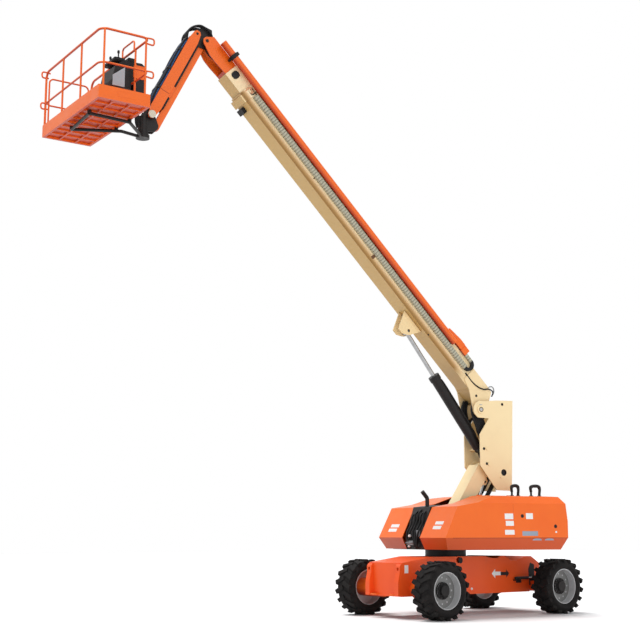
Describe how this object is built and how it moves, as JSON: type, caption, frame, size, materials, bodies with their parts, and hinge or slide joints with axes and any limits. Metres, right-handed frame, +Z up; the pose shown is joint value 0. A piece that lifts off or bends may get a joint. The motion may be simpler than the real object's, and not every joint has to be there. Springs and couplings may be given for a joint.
{
  "type": "telescopic boom lift",
  "caption": "Self-propelled telescopic boom lift with a three-section boom, a short tower link, a jib and a work basket, on four lugged tyres",
  "frame": {"origin": "on the ground under the slew axis", "axes": "+X toward the boom and basket end, +Y to the machine's left side, +Z up"},
  "size_m": [9.8619, 4.0764, 10.5337],
  "materials": {
    "orange_paint": "satin enamel",
    "cream_paint": "satin enamel",
    "black_paint": "satin enamel",
    "chrome_rod": "hard chrome",
    "silver_paint": "satin enamel",
    "tyre": "moulded rubber",
    "cast": "painted casting",
    "track_plastic": "moulded",
    "pad_plastic": "machined pad"
  },
  "bodies": {
    "chassis": {"chassis_frame": "orange_paint", "front_hubs": "orange_paint", "steer_axle": "orange_paint", "slew_ring": "black_paint", "tie_down_lugs": "orange_paint", "steering_lugs": "black_paint"},
    "left_steering_barrel": {"left_steering_barrel": "black_paint"},
    "right_steering_barrel": {"right_steering_barrel": "black_paint"},
    "left_steering_rod": {"left_steering_rod": "chrome_rod"},
    "right_steering_rod": {"right_steering_rod": "chrome_rod"},
    "left_knuckle": {"left_knuckle": "orange_paint"},
    "right_knuckle": {"right_knuckle": "orange_paint"},
    "wheel_front_left": {"tyre_front_left": "tyre", "rim_front_left": "silver_paint"},
    "wheel_front_right": {"tyre_front_right": "tyre", "rim_front_right": "silver_paint"},
    "wheel_rear_left": {"tyre_rear_left": "tyre", "rim_rear_left": "silver_paint"},
    "wheel_rear_right": {"tyre_rear_right": "tyre", "rim_rear_right": "silver_paint"},
    "turntable": {"turntable_deck": "black_paint", "counterweight": "cast", "engine_block": "cast", "front_cowl": "black_paint", "exhaust_pipe": "black_paint"},
    "left_hood": {"left_hood": "orange_paint", "left_hood_handles": "black_paint"},
    "right_hood": {"right_hood": "orange_paint"},
    "tower_boom": {"tower_boom": "cream_paint"},
    "level_link": {"level_link": "black_paint"},
    "tower_cylinder_barrel": {"tower_cylinder_barrel": "black_paint"},
    "tower_cylinder_rod": {"tower_cylinder_rod": "chrome_rod"},
    "upright": {"upright": "cream_paint"},
    "base_boom": {"base_boom": "cream_paint", "base_pads": "pad_plastic", "cable_track_tray": "track_plastic"},
    "mid_boom": {"mid_boom": "cream_paint", "mid_tail_pads": "pad_plastic", "mid_nose_pads": "pad_plastic"},
    "cable_track_loop": {"cable_track_loop": "track_plastic"},
    "fly_boom": {"fly_boom": "orange_paint", "fly_tail_pads": "pad_plastic", "push_tube": "orange_paint", "cable_track_upper": "track_plastic"},
    "lift_cylinder_barrel": {"lift_cylinder_barrel": "black_paint"},
    "lift_cylinder_rod": {"lift_cylinder_rod": "chrome_rod"},
    "jib_knuckle": {"jib_knuckle": "black_paint"},
    "jib_upper_beam": {"jib_upper_beam": "orange_paint"},
    "jib_lower_beam": {"jib_lower_beam": "orange_paint"},
    "end_bracket": {"end_bracket": "black_paint"},
    "basket": {"rotator_flange": "black_paint", "basket_support": "black_paint", "basket_floor": "orange_paint", "toe_boards": "orange_paint", "basket_rails": "orange_paint", "control_console": "track_plastic", "console_guard": "orange_paint"},
    "basket_gate": {"basket_gate": "orange_paint"}
  },
  "joints": [
    {"name": "slew", "type": "hinge", "parent": "chassis", "child": "turntable", "pos_m": [0, 0, 1.187], "axis": [0, 0, 1], "continuous": true},
    {"name": "left_steer", "type": "hinge", "parent": "chassis", "child": "left_knuckle", "pos_m": [-1.905, 0.68, 0.505], "axis": [0, 0, 1], "range_deg": [-30, 30]},
    {"name": "left_steering_rod_slide", "type": "slide", "parent": "left_steering_barrel", "child": "left_steering_rod", "axis": [1, 0, 0], "range_m": [-0.108, 0.108]},
    {"name": "left_steering_barrel_turn", "type": "hinge", "parent": "chassis", "child": "left_steering_barrel", "pos_m": [-1.37, 0.49, 0.646], "axis": [0, 0, 1], "range_deg": [-4, 4]},
    {"name": "right_steer", "type": "hinge", "parent": "chassis", "child": "right_knuckle", "pos_m": [-1.905, -0.68, 0.505], "axis": [0, 0, 1], "range_deg": [-30, 30]},
    {"name": "right_steering_rod_slide", "type": "slide", "parent": "right_steering_barrel", "child": "right_steering_rod", "axis": [1, 0, 0], "range_m": [-0.108, 0.108]},
    {"name": "right_steering_barrel_turn", "type": "hinge", "parent": "chassis", "child": "right_steering_barrel", "pos_m": [-1.37, -0.49, 0.646], "axis": [0, 0, 1], "range_deg": [-4, 4]},
    {"name": "front_left_wheel_spin", "type": "hinge", "parent": "chassis", "child": "wheel_front_left", "pos_m": [1.145, 1.035, 0.505], "axis": [0, 1, 0], "continuous": true},
    {"name": "front_right_wheel_spin", "type": "hinge", "parent": "chassis", "child": "wheel_front_right", "pos_m": [1.145, -1.035, 0.505], "axis": [0, 1, 0], "continuous": true},
    {"name": "rear_left_wheel_spin", "type": "hinge", "parent": "left_knuckle", "child": "wheel_rear_left", "pos_m": [-1.905, 1.035, 0.505], "axis": [0, 1, 0], "continuous": true},
    {"name": "rear_right_wheel_spin", "type": "hinge", "parent": "right_knuckle", "child": "wheel_rear_right", "pos_m": [-1.905, -1.035, 0.505], "axis": [0, 1, 0], "continuous": true},
    {"name": "left_hood_lift", "type": "hinge", "parent": "turntable", "child": "left_hood", "pos_m": [0.06861, 0.32279, 2.182], "axis": [0.9781, -0.2079, 0], "range_deg": [0, 55]},
    {"name": "right_hood_lift", "type": "hinge", "parent": "turntable", "child": "right_hood", "pos_m": [-0.06861, -0.32279, 2.182], "axis": [-0.9781, 0.2079, 0], "range_deg": [0, 55]},
    {"name": "tower_lift", "type": "hinge", "parent": "turntable", "child": "tower_boom", "pos_m": [-0.03913, 0.00832, 1.55], "axis": [0.2079, 0.9781, 0], "range_deg": [-53.8, 15]},
    {"name": "upright_level", "type": "hinge", "parent": "tower_boom", "child": "upright", "pos_m": [-0.82065, 0.17444, 2.78033], "axis": [0.2079, 0.9781, 0], "range_deg": [-15.1, 53.9]},
    {"name": "level_link_turn", "type": "hinge", "parent": "turntable", "child": "level_link", "pos_m": [-0.29344, 0.06237, 1.31], "axis": [0.2079, 0.9781, 0], "range_deg": [-53.9, 15.1]},
    {"name": "tower_cylinder_turn", "type": "hinge", "parent": "turntable", "child": "tower_cylinder_barrel", "pos_m": [-0.44017, 0.09356, 1.33], "axis": [0.2079, 0.9781, 0], "range_deg": [-59.1, 16.62]},
    {"name": "tower_cylinder_slide", "type": "slide", "parent": "tower_cylinder_barrel", "child": "tower_cylinder_rod", "axis": [-0.3379, 0.0718, 0.9385], "range_m": [-0.3929, 0.1124]},
    {"name": "main_lift", "type": "hinge", "parent": "upright", "child": "base_boom", "pos_m": [-0.66024, 0.14034, 3.81033], "axis": [-0.2079, -0.9781, 0], "range_deg": [-46.9, 28.1]},
    {"name": "lift_cylinder_turn", "type": "hinge", "parent": "upright", "child": "lift_cylinder_barrel", "pos_m": [-0.78153, 0.16612, 3.07033], "axis": [-0.2079, -0.9781, 0], "range_deg": [-36.37, 21.87]},
    {"name": "lift_cylinder_slide", "type": "slide", "parent": "lift_cylinder_barrel", "child": "lift_cylinder_rod", "axis": [0.5777, -0.1228, 0.807], "range_m": [-0.3345, 0.202]},
    {"name": "boom_extend", "type": "slide", "parent": "base_boom", "child": "mid_boom", "axis": [0.6683, -0.1421, 0.7302], "range_m": [0, 6.65]},
    {"name": "fly_extend", "type": "slide", "parent": "mid_boom", "child": "fly_boom", "axis": [0.6683, -0.1421, 0.7302], "range_m": [0, 6.651]},
    {"name": "cable_track_follow", "type": "slide", "parent": "base_boom", "child": "cable_track_loop", "axis": [0.6683, -0.1421, 0.7302], "range_m": [0, 6.651]},
    {"name": "jib_level", "type": "hinge", "parent": "fly_boom", "child": "jib_knuckle", "pos_m": [4.86126, -1.03329, 10.2377], "axis": [-0.2079, -0.9781, 0], "range_deg": [-28.2, 47]},
    {"name": "jib_lift", "type": "hinge", "parent": "jib_knuckle", "child": "jib_upper_beam", "pos_m": [5.04221, -1.07176, 10.3437], "axis": [-0.2079, -0.9781, 0], "range_deg": [-6.25, 123.75]},
    {"name": "jib_lower_follow", "type": "hinge", "parent": "jib_knuckle", "child": "jib_lower_beam", "pos_m": [4.9356, -1.04909, 10.1457], "axis": [-0.2079, -0.9781, 0], "range_deg": [-6.3, 123.8]},
    {"name": "end_bracket_level", "type": "hinge", "parent": "jib_upper_beam", "child": "end_bracket", "pos_m": [5.83392, -1.24004, 8.70242], "axis": [-0.2079, -0.9781, 0], "range_deg": [-123.8, 6.3]},
    {"name": "basket_rotate", "type": "hinge", "parent": "end_bracket", "child": "basket", "pos_m": [5.9464, -1.26395, 8.351], "axis": [0, 0, 1], "range_deg": [-97.4, 82.6]},
    {"name": "gate_swing", "type": "hinge", "parent": "basket", "child": "basket_gate", "pos_m": [6.41016, -2.40782, 8.951], "axis": [0, 0, 1], "range_deg": [0, 85]}
  ],
  "couplings": [
    {"joint": "right_steer", "follows": "left_steer", "ratio": 1},
    {"joint": "left_steering_rod_slide", "follows": "left_steer", "m_per_rad": 0.1843},
    {"joint": "right_steering_rod_slide", "follows": "left_steer", "m_per_rad": -0.1843},
    {"joint": "left_steering_barrel_turn", "follows": "left_steer", "ratio": 0.001},
    {"joint": "right_steering_barrel_turn", "follows": "left_steer", "ratio": 0.001},
    {"joint": "upright_level", "follows": "tower_lift", "ratio": -1},
    {"joint": "level_link_turn", "follows": "tower_lift", "ratio": 1},
    {"joint": "tower_cylinder_turn", "follows": "tower_lift", "ratio": 1.0948},
    {"joint": "tower_cylinder_slide", "follows": "tower_lift", "m_per_rad": 0.4142},
    {"joint": "lift_cylinder_turn", "follows": "main_lift", "ratio": 0.7712},
    {"joint": "lift_cylinder_slide", "follows": "main_lift", "m_per_rad": 0.4038},
    {"joint": "fly_extend", "follows": "boom_extend", "ratio": 1},
    {"joint": "cable_track_follow", "follows": "boom_extend", "ratio": 1},
    {"joint": "jib_level", "follows": "main_lift", "ratio": -1},
    {"joint": "jib_lower_follow", "follows": "jib_lift", "ratio": 1},
    {"joint": "end_bracket_level", "follows": "jib_lift", "ratio": -1}
  ]
}
